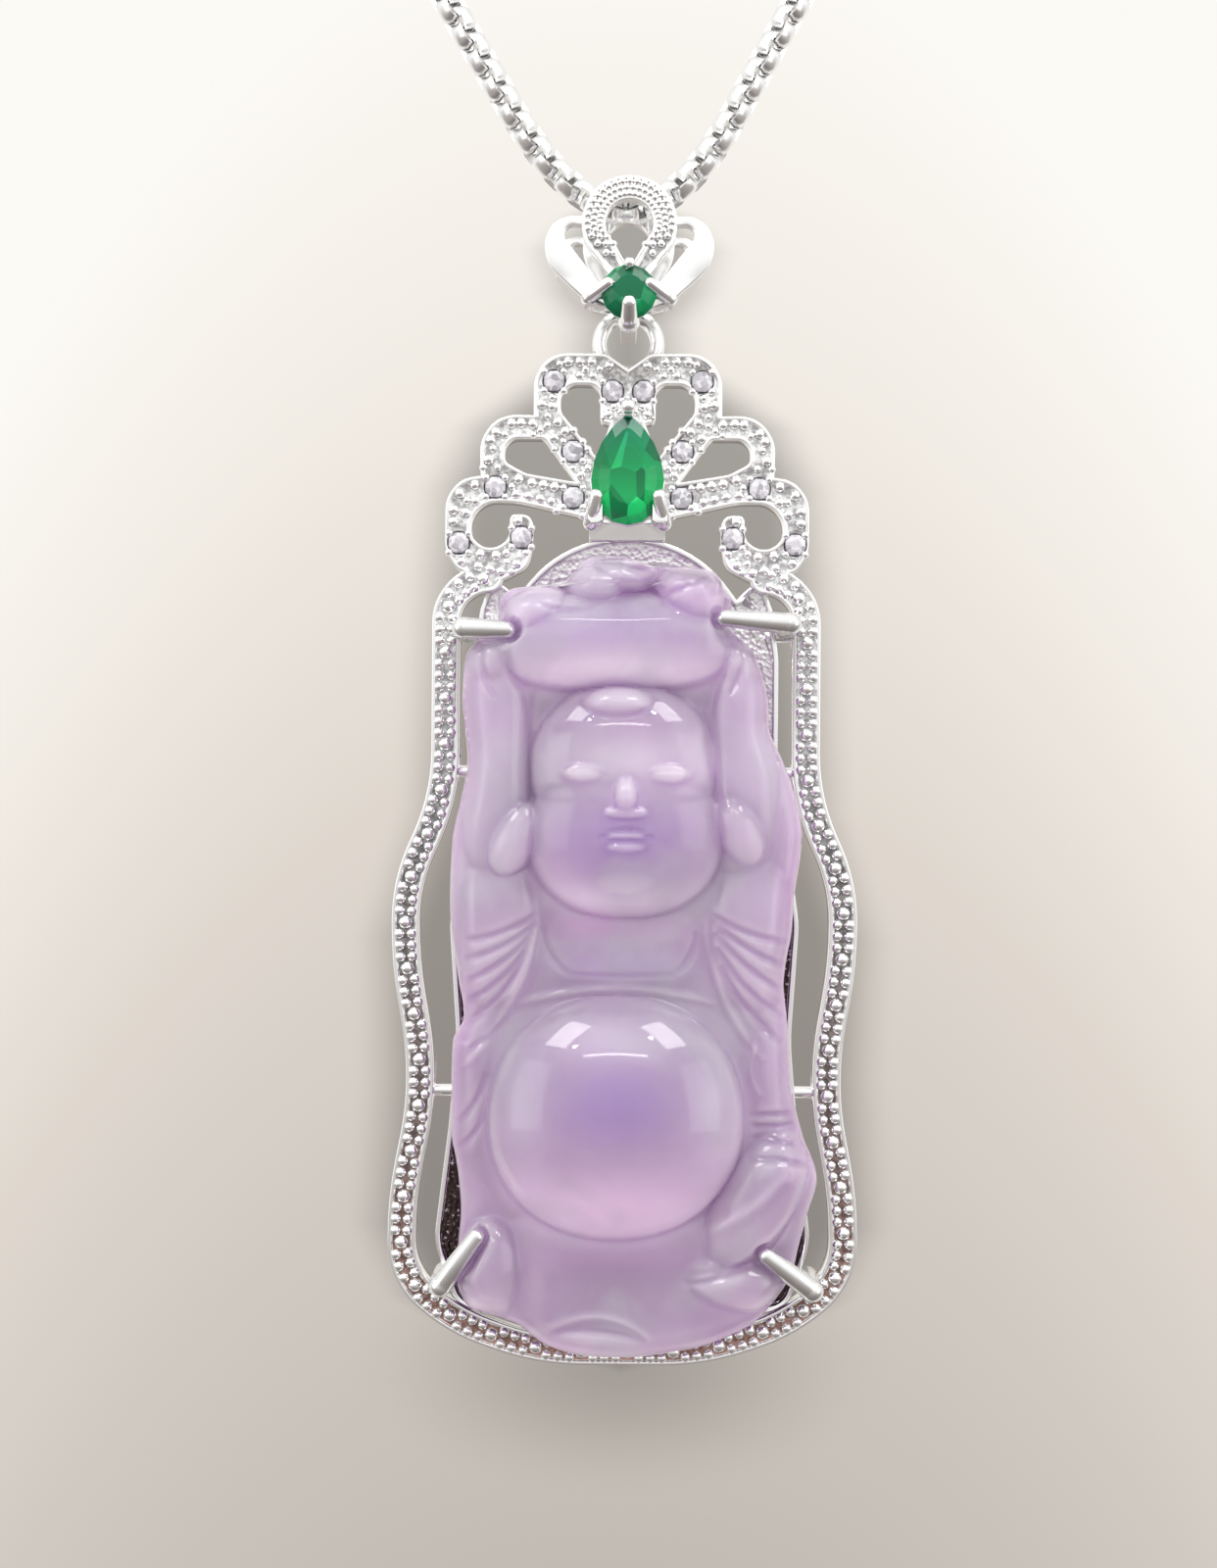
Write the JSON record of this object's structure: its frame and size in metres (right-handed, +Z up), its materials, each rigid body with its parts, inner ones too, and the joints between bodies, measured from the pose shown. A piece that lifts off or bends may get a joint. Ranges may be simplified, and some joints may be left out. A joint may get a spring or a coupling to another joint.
{
  "type": "jade buddha pendant necklace",
  "caption": "Carved lavender jade buddha in a silver claw setting with a pierced stone-set crown, a green pear and a round stone, a bail and a box chain",
  "frame": {"origin": "middle of the clasp at the back of the neck, where the necklace is carried", "axes": "+X to the right as seen from the front, -Y out of the front of the pendant, +Z up"},
  "size_m": [0.1061, 0.1258, 0.1744],
  "materials": {
    "silver": "bright rhodium-plated silver, finely grained on the rail and crown",
    "jade": "polished translucent lavender jade, pinker at the rim of the belly",
    "green_stone": "clear emerald green cut stone",
    "clear_stone": "clear colourless cut stone"
  },
  "bodies": {
    "chain": {"chain": "silver", "clasp": "silver"},
    "bail": {"bail": "silver", "round_stone": "green_stone"},
    "pendant": {"setting": "silver", "jade_buddha": "jade", "pear_stone": "green_stone", "clear_stone_01": "clear_stone", "clear_stone_02": "clear_stone", "clear_stone_03": "clear_stone", "clear_stone_04": "clear_stone", "clear_stone_05": "clear_stone", "clear_stone_06": "clear_stone", "clear_stone_07": "clear_stone", "clear_stone_08": "clear_stone", "clear_stone_09": "clear_stone", "clear_stone_10": "clear_stone", "clear_stone_11": "clear_stone", "clear_stone_12": "clear_stone", "clear_stone_13": "clear_stone", "clear_stone_14": "clear_stone"}
  },
  "joints": [
    {"name": "bail_swing", "type": "hinge", "parent": "chain", "child": "bail", "pos_m": [0, -0.118, -0.114], "axis": [1, 0, 0], "range_deg": [-60, 60]},
    {"name": "pendant_swing", "type": "hinge", "parent": "bail", "child": "pendant", "pos_m": [0, -0.118, -0.1194], "axis": [1, 0, 0], "range_deg": [-40, 60]}
  ]
}
